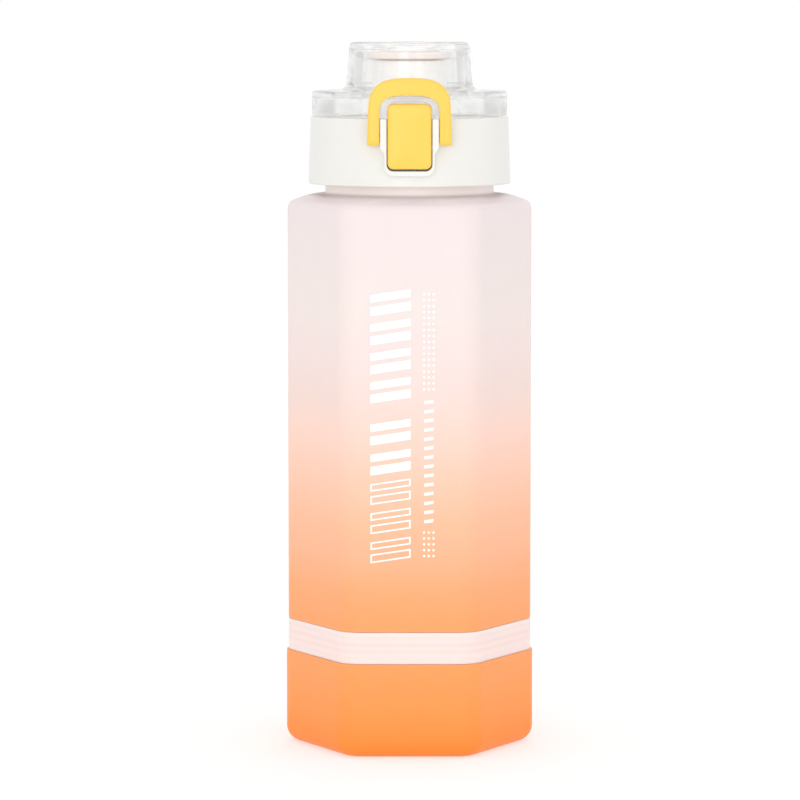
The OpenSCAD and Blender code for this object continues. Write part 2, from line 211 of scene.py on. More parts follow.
def circle(centre, r, steps):
    """Points of a circle in a plane."""
    angles = [2 * pi * k / steps for k in range(steps)]
    return [(centre[0] + r * cos(a), centre[1] + r * sin(a)) for a in angles]


def prism_x(outline, low, high):
    """An outline (y, z) given length along X."""
    return loft([[(x, y, z) for y, z in outline] for x in (low, high)])


def prisms_x(outline, near, far):
    """An outline (y, z) given length along X from near to far, on the left and on the right."""
    return [prism_x(outline, *sorted((side * near, side * far))) for side in (-1, 1)]


def prism_y(outline, low, high):
    """An outline (x, z) given depth along Y."""
    return loft([[(x, y, z) for x, z in outline] for y in (low, high)])


def arch(half, rise, z, steps):
    """Points of a flattened arch, from the right over the top to the left."""
    bulge = 2 / 3
    out = []
    for i in range(steps + 1):
        a = radians(180 * i / steps)
        c, s = round(cos(a), 9), round(sin(a), 9)
        x = half * (1 if c > 0 else -1) * abs(c) ** bulge
        out.append((x, z + rise * abs(s) ** bulge))
    return out


def rim_sweep(outer, inner, front, back, r_out, r_in):
    """A bar between an outer and an inner outline (x, z), with round edges at the front."""
    steps = 5
    rings = []
    for o, n in zip(outer, inner):
        across = Vector((n[0] - o[0], n[1] - o[1])).normalized()
        ring = [(o[0], back, o[1])]
        for s in range(steps + 1):
            a = radians(90 * s / steps)
            d = r_out * (1 - cos(a))
            ring.append((o[0] + across.x * d, front + r_out * (1 - sin(a)), o[1] + across.y * d))
        for s in range(steps + 1):
            a = radians(90 - 90 * s / steps)
            d = r_in * (1 - cos(a))
            ring.append((n[0] - across.x * d, front + r_in * (1 - sin(a)), n[1] - across.y * d))
        ring.append((n[0], back, n[1]))
        rings.append(ring)
    return loft(rings)


def tube(path, r):
    """A wire of radius r along a path of points."""
    sides = 10
    angles = [2 * pi * k / sides for k in range(sides)]
    path = [Vector(p) for p in path]
    rings = []
    side = None
    for i, p in enumerate(path):
        ahead = (path[min(i + 1, len(path) - 1)] - path[max(i - 1, 0)]).normalized()
        if side is None:
            side = ahead.orthogonal()
        side = (side - ahead * side.dot(ahead)).normalized()
        up = ahead.cross(side)
        rings.append([tuple(p + (side * cos(a) + up * sin(a)) * r) for a in angles])
    return loft(rings)


def thread(root, crest, lead, z, turns, start):
    """Two helical ridges, half a turn apart, that fade in and out of the wall they stand on."""
    steps_turn, fade_steps, least = 72, 7, 0.03
    sunk = 0.3  # depth of a ridge's foot in the wall
    crest_half, foot_half = 0.065 * lead, 0.14 * lead
    base_r = root - (sunk if crest > root else -sunk)
    parts = []
    for offset in (0, 180):
        rings = []
        steps = ceil(turns * steps_turn)
        for i in range(steps + 1):
            a = radians(start + offset + 360 * turns * i / steps)
            h = z + lead * turns * i / steps
            fade = max(least, min(1, i / fade_steps, (steps - i) / fade_steps))
            r = base_r + (crest - base_r) * fade
            tip = [(r, -crest_half), (r, crest_half)]
            section = [(base_r, -foot_half), *tip, (base_r, foot_half)]
            rings.append([(q * cos(a), q * sin(a), h + d) for q, d in section])
        parts.append(loft(rings))
    return parts


def joined(parts):
    """Several (points, faces) put together as one."""
    points, faces = [], []
    for p, f in parts:
        base = len(points)
        points += p
        faces += [tuple(i + base for i in face) for face in f]
    return points, faces


def to_mesh(name, parts, sharp=32):
    """A mesh object from (points, faces), smooth apart from its sharp edges."""
    points, faces = joined(parts)
    mesh = bpy.data.meshes.new(name)
    mesh.from_pydata([tuple(c * MM for c in p) for p in points], [], faces)
    bm = bmesh.new()
    bm.from_mesh(mesh)
    bmesh.ops.remove_doubles(bm, verts=bm.verts, dist=SAME_PLACE)
    bmesh.ops.dissolve_degenerate(bm, edges=bm.edges, dist=SAME_PLACE)
    bmesh.ops.recalc_face_normals(bm, faces=bm.faces)
    bm.to_mesh(mesh)
    bm.free()
    mesh.shade_smooth()
    mesh.set_sharp_from_angle(angle=radians(sharp))
    obj = bpy.data.objects.new(name, mesh)
    bpy.context.scene.collection.objects.link(obj)
    return obj


def soften(obj, width, segments, angle):
    """Rounds the edges of a piece that are sharper than an angle."""
    bevel = obj.modifiers.new("round_edges", "BEVEL")
    bevel.width = width * MM
    bevel.segments = segments
    bevel.limit_method = "ANGLE"
    bevel.angle_limit = radians(angle)
    bevel.use_clamp_overlap = True


def even(obj):
    """Keeps flat faces flat where they meet rounded edges."""
    normals = obj.modifiers.new("even_shading", "WEIGHTED_NORMAL")
    normals.keep_sharp = True
    normals.weight = 80


def combine(obj, parts, operation, sharp=32):
    """Adds or cuts away other shapes and leaves one clean mesh."""
    for i, part in enumerate(parts):
        tool = to_mesh(f"tool_{i}", [part])
        mod = obj.modifiers.new("combine", "BOOLEAN")
        mod.operation = operation
        mod.solver = "EXACT"
        mod.object = tool
        made = bpy.data.meshes.new_from_object(
            obj.evaluated_get(bpy.context.evaluated_depsgraph_get())
        )
        obj.modifiers.clear()
        old, obj.data = obj.data, made
        bpy.data.meshes.remove(old)
        bpy.data.objects.remove(tool)
    obj.data.shade_smooth()
    obj.data.set_sharp_from_angle(angle=radians(sharp))


def finish_piece(obj, material, body, nodes=()):
    """Gives a piece its material and its body, and hides the CAD nodes it stands for."""
    obj.data.materials.clear()
    obj.data.materials.append(material)
    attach(obj, body)
    if nodes:
        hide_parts(*nodes)


# ---- materials ----

NOISE_LOW, NOISE_HIGH = 0.3, 0.7  # the range that most of a noise lies in
TINT = 0.012  # share by which the plastics' colours vary


def srgb(code):
    """A linear colour from a hexadecimal one."""
    parts = [int(code[i : i + 2], 16) / 255 for i in (0, 2, 4)]
    linear = [c / 12.92 if c <= 0.04045 else ((c + 0.055) / 1.055) ** 2.4 for c in parts]
    return (*linear, 1)


class Maker:
    """A material with one Principled shader and short ways to add nodes to it."""

    def __init__(self, name, **sockets):
        self.material = bpy.data.materials.new(name)
        self.material.use_nodes = True
        self.tree = self.material.node_tree
        self.shader = self.tree.nodes["Principled BSDF"]
        for key, value in sockets.items():
            self.shader.inputs[key.replace("_", " ")].default_value = value
        self.place = self.node("ShaderNodeTexCoord").outputs["Object"]

    def node(self, kind, **values):
        made = self.tree.nodes.new(kind)
        for key, value in values.items():
            setattr(made, key, value)
        return made

    def link(self, out, into):
        self.tree.links.new(out, into)

    def noise(self, size, detail=2.0, stretch=(1, 1, 1)):
        """Noise with grains of about size millimetres."""
        mapping = self.node("ShaderNodeMapping")
        mapping.inputs["Scale"].default_value = stretch
        noise = self.node("ShaderNodeTexNoise")
        noise.inputs["Scale"].default_value = 1 / (size * MM)
        noise.inputs["Detail"].default_value = detail
        self.link(self.place, mapping.inputs["Vector"])
        self.link(mapping.outputs[0], noise.inputs["Vector"])
        return noise.outputs["Fac"]

    def ramp(self, value, stops):
        ramp = self.node("ShaderNodeValToRGB")
        elements = ramp.color_ramp.elements
        while len(elements) < len(stops):
            elements.new(0.5)
        for element, (position, colour) in zip(elements, stops):
            element.position = position
            element.color = colour
        self.link(value, ramp.inputs["Fac"])
        return ramp.outputs["Color"]

    def spread(self, value, low, high):
        """Maps a noise onto low to high."""
        mapped = self.node("ShaderNodeMapRange")
        mapped.inputs["From Min"].default_value = NOISE_LOW
        mapped.inputs["From Max"].default_value = NOISE_HIGH
        mapped.inputs["To Min"].default_value = low
        mapped.inputs["To Max"].default_value = high
        self.link(value, mapped.inputs["Value"])
        return mapped.outputs["Result"]

    def height(self, low, high):
        """0 at z low and 1 at z high, in millimetres."""
        split = self.node("ShaderNodeSeparateXYZ")
        self.link(self.place, split.inputs[0])
        mapped = self.node("ShaderNodeMapRange")
        mapped.inputs["From Min"].default_value = low * MM
        mapped.inputs["From Max"].default_value = high * MM
        self.link(split.outputs["Z"], mapped.inputs["Value"])
        return mapped.outputs["Result"]

    def roughness(self, low, high, size):
        varied = self.spread(self.noise(size, detail=3.0), low, high)
        self.link(varied, self.shader.inputs["Roughness"])

    def bump(self, height, depth, under=None):
        """A relief of depth millimetres, added to the one under it."""
        bump = self.node("ShaderNodeBump")
        bump.inputs["Distance"].default_value = depth * MM
        self.link(height, bump.inputs["Height"])
        if under is not None:
            self.link(under, bump.inputs["Normal"])
        self.link(bump.outputs["Normal"], self.shader.inputs["Normal"])
        return bump.outputs["Normal"]

    def colour(self, out):
        self.link(out, self.shader.inputs["Base Color"])

    def tinted(self, out, size):
        """The colour from out, a little darker in soft patches of size millimetres."""
        mix = self.node("ShaderNodeMix", data_type="RGBA", blend_type="MULTIPLY")
        mix.inputs["Factor"].default_value = 1
        shade = self.spread(self.noise(size), 1 - TINT, 1)
        self.link(out, mix.inputs["A"])
        self.link(shade, mix.inputs["B"])
        return mix.outputs["Result"]


# the bottle's fade, as (height above the floor, colour)
FADE = [
    (2, "fe8c35"),
    (14, "ff994e"),
    (30, "ffa161"),
    (45.5, "ffa56a"),
    (56.5, "ffac78"),
    (68.5, "feb790"),
    (80.5, "febf9d"),
    (93.5, "fec9b0"),
    (107.5, "fed3c4"),
    (121.5, "f2d9d1"),
    (135.5, "f1ddda"),
    (151.5, "eee1dd"),
    (185.5, "ecdfdf"),
]


def frosted(name, stops, rough=0.42, painted_light=None):
    """Frosted, slightly see-through plastic that fades in colour with height.

    The last argument is (lowest z, highest z, colour) of a ring of painted light: it glows in place
    of light through the frosted plastic, brightening the neck in the cap's shade.
    """
    make = Maker(name, Subsurface_Weight=0.2, Subsurface_Scale=0.003, Specular_IOR_Level=0.2)
    make.shader.inputs["Subsurface Radius"].default_value = (1.0, 0.6, 0.4)
    low, high = stops[0][0], stops[-1][0]
    ramp = [((z - low) / (high - low), srgb(code)) for z, code in stops]
    fade = make.ramp(make.height(low, high), ramp)
    make.colour(make.tinted(fade, 9))
    # painted light: a glowing ring that brightens the neck where the cap's overhang shades it
    if painted_light:
        z_low, z_high, code = painted_light
        dark = (0, 0, 0, 1)
        steps = [(0, dark), (0.2, srgb(code)), (0.8, srgb(code)), (1, dark)]
        ring = make.ramp(make.height(z_low, z_high), steps)
        make.link(ring, make.shader.inputs["Emission Color"])
        make.shader.inputs["Emission Strength"].default_value = 1
    make.roughness(rough - 0.05, rough + 0.06, 1.2)
    fine = make.bump(make.noise(0.5), depth=0.004)
    make.bump(make.noise(14, detail=1.0), depth=0.06, under=fine)
    return make.material


def moulded(name, code, rough, grain=2.5, depth=0.002, **sockets):
    """Moulded plastic or rubber of one colour, with a fine grain."""
    make = Maker(name, **sockets)
    plain = make.node("ShaderNodeRGB").outputs["Color"]
    plain.default_value = srgb(code)
    make.colour(make.tinted(plain, 5))
    make.roughness(rough - 0.04, rough + 0.06, 1.5)
    fine = make.bump(make.noise(grain), depth=depth)
    make.bump(make.noise(14, detail=1.0), depth=0.02, under=fine)
    return make.material


def clear_plastic():
    make = Maker("clear_plastic", Transmission_Weight=1.0, IOR=1.3, Alpha=0.7)
    make.shader.inputs["Base Color"].default_value = srgb("f7f7f6")
    make.roughness(0.015, 0.05, 4)
    make.bump(make.noise(9, detail=1.0), depth=0.03)
    return make.material


def steel():
    make = Maker("steel", Metallic=1.0, Anisotropic=0.4)
    brushed = make.noise(0.15, detail=3.0, stretch=(0.1, 1, 1))
    shades = [(NOISE_LOW, srgb("b9babd")), (NOISE_HIGH, srgb("dadbdd"))]
    make.colour(make.ramp(brushed, shades))
    make.roughness(0.22, 0.36, 0.5)
    make.bump(brushed, depth=0.004)
    return make.material


def banded():
    """The pale band: milky plastic with the faint level lines of what is behind it."""
    make = Maker("pale_band", Subsurface_Weight=0.4, Subsurface_Scale=0.003, IOR=1.49)
    make.shader.inputs["Subsurface Radius"].default_value = (1.0, 0.7, 0.5)
    tones = "fae7e3 f7dfda f8e3de f5dbd6 f8e2dd f4dad5 f8e3df f6ded9 fae6e1".split()
    stops = [(0.06 + 0.11 * i, srgb(code)) for i, code in enumerate(tones)]
    make.colour(make.tinted(make.ramp(make.height(BAND_LOW, BAND_HIGH), stops), 6))
    make.roughness(0.34, 0.46, 1.2)
    make.bump(make.noise(0.5), depth=0.004)
    return make.material


# the neck's glowing ring is painted light, brightening it in the shade of the cap's overhang
BODY = frosted("frosted_body", FADE, painted_light=(NECK_Z - 0.6, CAP_LOW + 1.2, "7a7870"))
CUP = frosted("frosted_cup", FADE[:5], 0.4)
BAND = banded()
WHITE = moulded("white_cap", "e9e8e3", 0.32, IOR=1.5)
SPOUT = moulded("white_spout", "fdfcfb", 0.28, IOR=1.5)
YELLOW = moulded("yellow_plastic", "fecc52", 0.3, IOR=1.5)
SILICONE = moulded("silicone", "e9e4df", 0.5, 1.0, 0.006, Subsurface_Weight=0.3)
SEAL = moulded("seal_silicone", "fbe9e4", 0.45, 1.0, 0.004, Subsurface_Weight=0.3)
INK = moulded("white_ink", "fdfaf5", 0.5, 1.0, 0.002)
CLEAR = clear_plastic()
STEEL = steel()


# ---- storage cup, band and gaskets ----


def make_cup():
    inner = CUP_FLATS - 2 * WALL
    foot = CUP_FLATS - 22
    foot_r, lip_r, inside_r = 5.5, 0.3, 3
    floor_z = CUP_LOW + 2.2
    # from the hollow under the foot, up the outside and down the inside
    rings = [
        hex_ring(foot - 0.8, CUP_LOW + 0.8),
        hex_ring(foot, CUP_LOW + 0.4),
        hex_ring(foot + 0.4, CUP_LOW),
    ]
    rings += edge_rings(CUP_FLATS, CUP_LOW, foot_r, -1, 12)
    rings += edge_rings(CUP_FLATS, CUP_HIGH, lip_r, 1, 4)
    rings += [hex_ring(inner + 0.8, CUP_HIGH), hex_ring(inner, CUP_HIGH - 0.4)]
    rings += edge_rings(inner, floor_z, inside_r, -1)[::-1]
    cup = to_mesh("storage_cup", [loft(rings)])
    even(cup)
    finish_piece(cup, CUP, "base", ["base_cup"])


def make_divider():
    low, high = span("divider_insert", 2)
    reach = span("divider_insert", 0)[1]
    hub_in, hub_out, root = 4.8, 6, 5.5
    half = 0.6  # half the thickness of a vane
    vane_low = low + 2.2
    section = [(hub_in, low, 0), (hub_out, low, 0), (hub_out, high, 0.3), (hub_in, high, 0.3)]
    vane = [
        (root, vane_low),
        (reach - 3, vane_low, 2),
        (reach, low + 6, 2),
        (reach, high, 3),
        (root, high),
    ]
    points, faces = prism_y(rounded(vane, steps=6), -half, half)
    parts = [lathe(rounded(section), segments=64)]
    for i in range(6):
        turn = Matrix.Rotation(radians(60 * i), 3, "Z")
        parts.append(([tuple(turn @ Vector(p)) for p in points], faces))
    divider = to_mesh("divider", parts)
    soften(divider, width=0.3, segments=2, angle=40)
    even(divider)
    finish_piece(divider, SPOUT, "base", ["divider_insert"])


def make_band():
    spigot = 2 * span("band_seal", 1)[1] - 0.2
    inside = spigot - 3.4
    groove = spigot - 1.8
    groove_low, groove_high = SPIGOT_LOW + 1.4, SPIGOT_LOW + 3.4
    # from the inside, round the spigot and up the outside
    rings = [
        hex_ring(inside, BAND_LOW),
        hex_ring(inside, SPIGOT_LOW + 0.4),
        hex_ring(inside + 0.8, SPIGOT_LOW),
    ]
    rings += edge_rings(spigot, SPIGOT_LOW, 0.5, -1, 4)
    rings += [hex_ring(spigot, groove_low), hex_ring(groove, groove_low)]
    rings += [hex_ring(groove, groove_high), hex_ring(spigot, groove_high)]
    rings.append(hex_ring(spigot, BAND_LOW))
    rings += edge_rings(BAND_FLATS, BAND_LOW, 0.15, -1, 3)
    rings += edge_rings(BAND_FLATS, BAND_HIGH, 0.2, 1, 3)
    # the gasket's seat, then the threaded socket
    for r, z in ((33.5, 0), (33.2, -0.3), (33.2, -1.2), (29.5, -1.2), (SOCKET_R, -1.4)):
        rings.append(round_ring(r, BAND_HIGH + z))
    for r, z in ((SOCKET_R, 2.2), (SOCKET_R - 0.4, 1.8)):
        rings.append(round_ring(r, BAND_LOW + z))
    ridges = thread(SOCKET_R, 28.25, BOSS_LEAD, z=BAND_LOW + 4.4, turns=0.7, start=90)
    band = to_mesh("band_shell", [loft(rings), *ridges])
    even(band)
    finish_piece(band, BAND, "band", ["band"])


def make_hex_seal():
    low, high = span("band_seal", 2)
    outer = 2 * span("band_seal", 1)[1]
    inner = outer - 1.9
    edge_r = 0.5
    rings = edge_rings(outer, low, edge_r, -1, 4) + edge_rings(outer, high, edge_r, 1, 4)
    rings += [hex_ring(inner, high), hex_ring(inner, low)]
    seal = to_mesh("cup_seal", [loft(rings, closed=True)])
    even(seal)
    finish_piece(seal, SILICONE, "band", ["band_seal"])


def make_flat_gasket(name, node, body, inner, lip=0.35):
    """A flat ring with rounded edges and a shallow groove on top."""
    low, high = span(node, 2)
    outer = span(node, 0)[1]
    middle = (inner + outer) / 2
    groove_z = high - 0.3
    profile = rounded(
        [
            (inner, low, lip),
            (outer, low, lip),
            (outer, high, lip),
            (middle + 0.7, high, 0),
            (middle + 0.3, groove_z, 0.2),
            (middle - 0.3, groove_z, 0.2),
            (middle - 0.7, high, 0),
            (inner, high, lip),
        ]
    )
    gasket = to_mesh(name, [lathe(profile)])
    even(gasket)
    finish_piece(gasket, SILICONE, body, [node])


# ---- bottle ----


def make_bottle():
    shoulder_z = SIDE_TOP + SHOULDER_R
    outside = edge_rings(BOTTLE_FLATS, BOTTLE_LOW, 0.4, -1, 5)
    outside += edge_rings(BOTTLE_FLATS, shoulder_z, SHOULDER_R, 1, 10)[:-2]

    # the low dome between the hexagonal shoulder and the round neck
    shoulder = hex_ring(BOTTLE_FLATS, shoulder_z - 0.05, SHOULDER_R - 0.7)
    collar = round_ring(29.9, NECK_Z - 0.35)
    dome_steps, dome_rise = 8, 0.45
    for i in range(1, dome_steps + 1):
        share = i / dome_steps
        lift = dome_rise * sin(pi * share)
        outside.append([(x, y, z + lift) for x, y, z in mix_rings(shoulder, collar, share)])

    # the neck, the step below its thread, and the mouth
    for r, z in ((NECK_R + 0.35, -0.2), (NECK_R + 0.08, 0.15), (NECK_R, 0.6)):
        outside.append(round_ring(r, NECK_Z + z))
    for r, z in ((NECK_R, 0.6), (28.6, 0.9), (NECK_THREAD_R, 0.9)):
        outside.append(round_ring(r, CAP_LOW + z))
    for r, z in ((NECK_THREAD_R, -0.5), (27.15, -0.15), (26.8, 0)):
        outside.append(round_ring(r, MOUTH_Z + z))
    for r, z in ((25.7, 0), (25.35, -0.15), (MOUTH_R, -0.5)):
        outside.append(round_ring(r, MOUTH_Z + z))

    inner = BOTTLE_FLATS - 2 * WALL
    floor_z, floor_r = BOTTLE_LOW + 2.5, 3
    inside = [round_ring(MOUTH_R, NECK_Z - 1.2), round_ring(MOUTH_R + 0.8, NECK_Z - WALL)]
    inside += edge_rings(inner, shoulder_z - WALL, SHOULDER_R - 1, 1)[::-1]
    inside += edge_rings(inner, floor_z, floor_r, -1)[::-1]

    boss_in, boss_high = 26, BOTTLE_LOW + 0.5
    boss = [
        (boss_in, BOSS_LOW, 0.3),
        (BOSS_THREAD_R, BOSS_LOW, 0.5),
        (BOSS_THREAD_R, boss_high),
        (boss_in, boss_high),
    ]
    parts = [loft(outside + inside), lathe(rounded(boss))]
    parts += thread(NECK_THREAD_R, 28.4, NECK_LEAD, z=CAP_LOW + 5.3, turns=1.25, start=0)
    parts += thread(BOSS_THREAD_R, 29, BOSS_LEAD, z=BOSS_LOW + 2, turns=0.7, start=0)
    bottle = to_mesh("bottle_shell", parts)
    even(bottle)
    finish_piece(bottle, BODY, "bottle", ["bottle_body"])


# ---- printed stripes and dots on the front ----


def slanted_bar(left, right, z, thick, lean):
    """The corners of a bar whose right end is higher than its left by lean."""
    return [(left, z), (right, z + lean), (right, z + lean + thick), (left, z + thick)]


def drawn_in(bar, width):
    """The corners of a slanted bar made smaller by width on every side."""
    (left, z), (right, z_right) = bar[:2]
    slope = (z_right - z) / abs(right - left)
    shifts = [(width, width), (-width, width), (-width, -width), (width, -width)]
    return [(x + dx, y + dx * slope + dz) for (x, y), (dx, dz) in zip(bar, shifts)]


def make_print():
    face = -BOTTLE_FLATS / 2
    front, back = face - 0.05, face + 0.15
    parts = []

    # two slanted bars in each cell, solid ones first
    left, right, lean = -13.2, 0.4, 2.0
    stroke = 0.55  # line width of the outlined bars
    solid_cells = [150.3, 140.5, 130.7, 120.9, 106.7, 96.5]
    outlined_cells = [86.5, 76.6, 66.7]
    for z in solid_cells + outlined_cells:
        for lift, thick in ((0, 3.0), (4.5, 2.6)):
            outer = slanted_bar(left, right, z + lift, thick, lean)
            if z in solid_cells:
                parts.append(prism_y(outer, front, back))
                continue
            inner = drawn_in(outer, stroke)
            edges = ((front, outer), (back, outer), (back, inner), (front, inner))
            rings = [[(x, y, height) for x, height in edge] for y, edge in edges]
            parts.append(loft(rings, closed=True))

    # rows of dots above and below a line of short ticks
    dot_r, row_step = 0.42, 2.0
    columns = (4.9, 6.5, 8.1)
    rows = [157.7 - row_step * i for i in range(17)] + [77.2 - row_step * i for i in range(5)]
    for z in rows:
        for x in columns:
            parts.append(prism_y(circle((x, z), dot_r, 12), front, back))
    for i in range(14):
        tick = slanted_bar(columns[0], columns[-1], 80.3 + 3.1 * i, 1.1, 0.4)
        parts.append(prism_y(tick, front, back))
    ink = to_mesh("front_print", parts)
    finish_piece(ink, INK, "bottle")


# ---- cap ----


def make_cap():
    rim_in, rim_in_low = 32.0, 32.8
    rim_high, rim_low = 33.9, 34.7  # outer radius at the top and the bottom
    deck_low, deck_high = MOUTH_Z + 1.9, MOUTH_Z + 3.9
    sleeve_out, sleeve_z = 30.7, CAP_LOW + 1.8
    profile = rounded(
        [
            (DECK_HOLE_R, deck_low, 0.2),
            (DECK_HOLE_R, deck_high, 0.4),
            (rim_in, deck_high, 0.5),
            (rim_in, CAP_HIGH, 0.25),
            (rim_high, CAP_HIGH, 0.45),
            (rim_low, CAP_LOW, 0.5),
            (rim_in_low, CAP_LOW, 0.4),
            (rim_in, deck_low, 0.4),
            (sleeve_out, deck_low, 0.3),
            (sleeve_out, sleeve_z, 0.4),
            (SLEEVE_R, sleeve_z, 0.4),
            (SLEEVE_R, deck_low, 0.3),
        ]
    )
    cap = to_mesh("cap_shell", [lathe(profile, 160)])
    half, recess_low = RECESS_HALF, CAP_LOW + 5.45
    recess_front, recess_back = -39, -31.2
    recess = rounded(
        [
            (-half, recess_low, 2.2),
            (half, recess_low, 2.2),
            (half, CAP_HIGH + 1, 0),
            (-half, CAP_HIGH + 1, 0),
        ]
    )
    room_half = 9.55
    room = prism_x(circle(HINGE, 3.1, 48), -room_half, room_half)
    combine(cap, [prism_y(recess, recess_front, recess_back), room], "DIFFERENCE")

    # the button's frame: wide beside the bail, narrower and rounded below the step
    end, low, step = half + 0.9, CAP_LOW + 3.7, CAP_LOW + 12.6
    step_high, step_low = step + 0.6, step - 1.4
    outer = [
        (-FRAME_HALF, CAP_HIGH),
        (-FRAME_HALF, step_high, 0.8),
        (-end, step_low, 1.0),
        (-end + 0.1, low, 3.2),
        (end - 0.1, low, 3.2),
        (end, step_low, 1.0),
        (FRAME_HALF, step_high, 0.8),
        (FRAME_HALF, CAP_HIGH),
    ]
    inner = [
        (-half, CAP_HIGH),
        (-half, step_high, 0.8),
        (-half, step_low, 1.0),
        (-half, recess_low, 2.3),
        (half, recess_low, 2.3),
        (half, step_low, 1.0),
        (half, step_high, 0.8),
        (half, CAP_HIGH),
    ]
    outer, inner = (rounded(side, closed=False, steps=8) for side in (outer, inner))
    frame_bar = rim_sweep(outer, inner, FRAME_Y, -31.6, r_out=0.4, r_in=0.3)
    wall_half, wall_low, wall_high = 8.2, recess_low - 0.5, CAP_HIGH - 3.6
    wall = [
        (-wall_half, wall_low),
        (wall_half, wall_low),
        (wall_half, wall_high),
        (-wall_half, wall_high),
    ]
    back_wall = prism_y(wall, recess_back, recess_back + 1)
    y, z = HINGE
    ear_low = z - 9
    ear = rounded(
        [
            (32.6, ear_low, 0.5),
            (34.2, ear_low, 0.5),
            (y + 2.9, z - 1.9, 1.2),
            (y + 2.8, z + 2.75, 2.7),
            (y - 2.75, z + 2.75, 2.7),
            (y - 2.7, z - 1.2, 0.3),
            (31.4, z - 1.3, 0),
        ],
        steps=8,
    )
    ridges = thread(SLEEVE_R, 27.6, NECK_LEAD, z=CAP_LOW + 5, turns=1, start=90)
    ear_in, ear_out = 9.6, 13.0
    parts = [frame_bar, back_wall, *prisms_x(ear, ear_in, ear_out), *ridges]
    details = to_mesh("cap_details", parts)
    soften(details, width=0.25, segments=3, angle=60)
    even(details)
    even(cap)
    finish_piece(cap, WHITE, "cap", ["cap_body"])
    finish_piece(details, WHITE, "cap")


def make_spout():
    flange_r, flange_high = 16.5, SPOUT_LOW + 1.8
    step_r, step_z = SPOUT_R - 0.25, SPOUT_TOP - 3.0
    profile = rounded(
        [
            (SPOUT_BORE_R, SPOUT_LOW, 0.5),
            (flange_r, SPOUT_LOW, 0.4),
            (flange_r, flange_high, 0.4),
            (SPOUT_R, flange_high, 0.3),
            (SPOUT_R, step_z - 0.2, 0.4),
            (step_r, step_z, 0.3),
            (step_r, SPOUT_TOP, 0.75),
            (SPOUT_BORE_R, SPOUT_TOP, 0.75),
        ],
        steps=7,
    )
    spout = to_mesh("spout_tube", [lathe(profile)])
    even(spout)
    finish_piece(spout, SPOUT, "cap", ["spout"])


# ---- clear lid ----


def make_lid():
    rim_in, rim_out = 31.6, 33.5
    dome_foot, dome_top = 21.75, 20.5  # outer radius of the dome
    dome_in_foot, dome_in_top = 19.7, 18.6
    ring_in, ring_out, ring_low = 8.6, 10.2, LID_HIGH - 3.4
    profile = rounded(
        [
            (0, LID_HIGH - 2.0),
            (ring_in, LID_HIGH - 2.0, 0.3),
            (ring_in, ring_low, 0.2),
            (ring_out, ring_low, 0.2),
            (ring_out, LID_HIGH - 2.2, 0.3),
            (dome_in_top, LID_HIGH - 2.3, 1.0),
            (dome_in_foot, RIM_TOP - 1.9, 2.2),
            (rim_in, RIM_TOP - 1.9, 0.8),
            (rim_in, LID_LOW, 0.3),
            (rim_out, LID_LOW, 0.35),
            (rim_out, RIM_TOP, 1.0),
            (dome_foot, RIM_TOP, 3.5),
            (dome_top, LID_HIGH, 1.4),
            (0, LID_HIGH),
        ],
        closed=False,
        steps=8,
    )
    lid = to_mesh("lid_shell", [lathe(profile, 160, closed=False)])

    half, room_half = 9.85, 7.85  # of the tongue and of its opening for the button
    outer = [(half, LID_LOW)] + arch(half, 6.2, ARCH_Z, 32) + [(-half, LID_LOW)]
    inner = [(room_half, LID_LOW)] + arch(room_half, 4.6, ARCH_Z, 32) + [(-room_half, LID_LOW)]
    tongue = rim_sweep(outer, inner, FRAME_Y, -32.2, r_out=0.6, r_in=0.35)
    low, high = LID_LOW + 0.1, LID_LOW + 2.5
    catch_front, catch_back = -34.6, -32.4
    catch = rounded([(-5.5, low, 0.3), (5.5, low, 0.3), (5.5, high, 0.4), (-5.5, high, 0.4)])
    y, z = HINGE
    root = 32.2
    ear = rounded(
        [
            (root, LID_LOW, 0),
            (y - 1, LID_LOW, 0.4),
            (y + 0.4, z - 2.8, 1.0),
            (y + 2.8, z - 2.6, 2.6),
            (y + 2.8, z + 2.6, 2.6),
            (y - 0.4, z + 3.2, 1.2),
            (root, z + 5, 0),
        ],
        steps=8,
    )
    ear_in, ear_out = 5.3, 9.4
    ears = prisms_x(ear, ear_in, ear_out)
    combine(lid, [tongue, prism_y(catch, catch_front, catch_back), *ears], "UNION")
    spring_room = prism_x(circle(HINGE, 2.6, 48), -ear_in, ear_in)
    pin_bore = prism_x(circle(HINGE, 1.05, 32), -14, 14)
    combine(lid, [spring_room, pin_bore], "DIFFERENCE")
    even(lid)
    lid.visible_shadow = False
    finish_piece(lid, CLEAR, "lid", ["lid"])


def make_lid_seal():
    low, high = SPOUT_TOP - 1.5, LID_HIGH - 3.5
    plug_r, disc_r, knob_r = 10.6, 14.3, 8.5
    disc_z = SPOUT_TOP + 0.3
    profile = rounded(
        [
            (0, low),
            (plug_r - 1.2, low, 0.5),
            (plug_r, disc_z - 0.3, 0.2),
            (plug_r, disc_z, 0),
            (disc_r, disc_z, 0.5),
            (disc_r, high, 0.8),
            (knob_r, high, 0.2),
            (knob_r, high + 1, 0.3),
            (0, high + 1),
        ],
        closed=False,
    )
    seal = to_mesh("seal_disc", [lathe(profile, 128, closed=False)])
    even(seal)
    finish_piece(seal, SEAL, "lid", ["lid_seal"])


# ---- hinge, latch and bail ----


def coil_path(radius, length, turns):
    """Points of a coil round the Z axis, centred on the origin."""
    count = int(28 * turns)
    points = []
    for i in range(count + 1):
        a = 2 * pi * turns * i / count
        points.append((radius * cos(a), radius * sin(a), length * (i / count - 0.5)))
    return points


